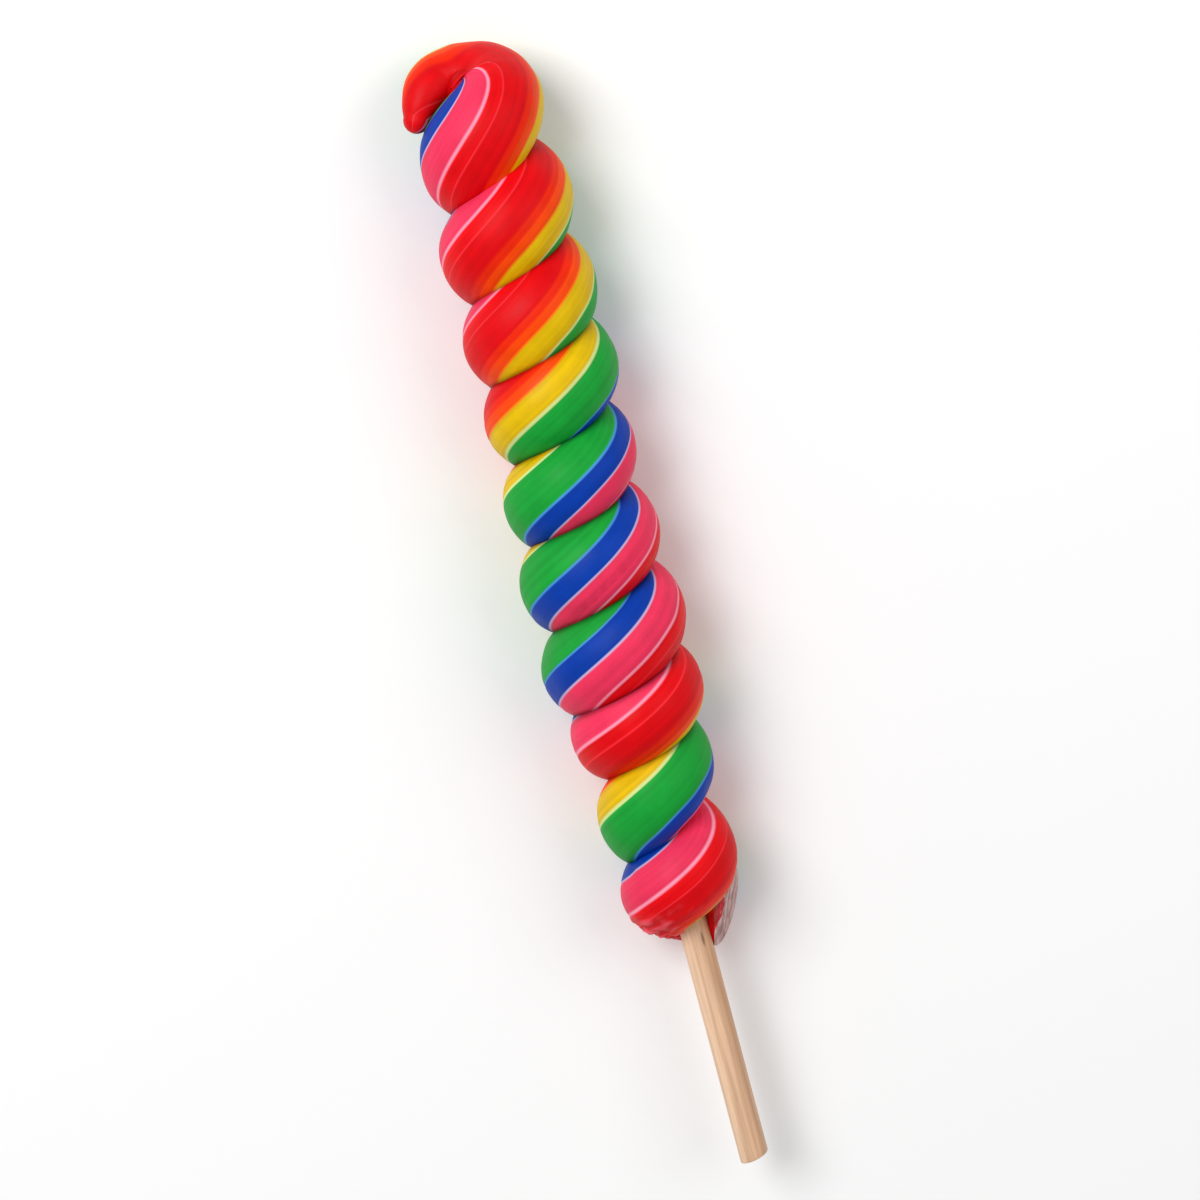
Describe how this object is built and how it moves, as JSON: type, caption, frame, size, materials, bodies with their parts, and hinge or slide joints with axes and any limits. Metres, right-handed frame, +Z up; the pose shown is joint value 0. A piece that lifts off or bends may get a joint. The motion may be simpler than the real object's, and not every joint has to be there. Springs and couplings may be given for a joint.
{
  "type": "twist lollipop",
  "caption": "Striped hard candy rope wound in a thick coil with a hooked tip, on a round wooden stick that serves as its handle.",
  "frame": {"origin": "centre of the bounding box's underside, on the surface the lollipop lies on", "axes": "+Y along the lollipop toward the candy's hooked tip, +Z up through the side that is seen, +X to the right of it"},
  "size_m": [0.0256, 0.1922, 0.0246],
  "materials": {
    "candy": "satin hard sugar candy with rainbow stripes that run along the rope",
    "stick": "bare turned birch"
  },
  "bodies": {
    "root": {"candy": "candy", "stick": "stick"}
  },
  "joints": []
}
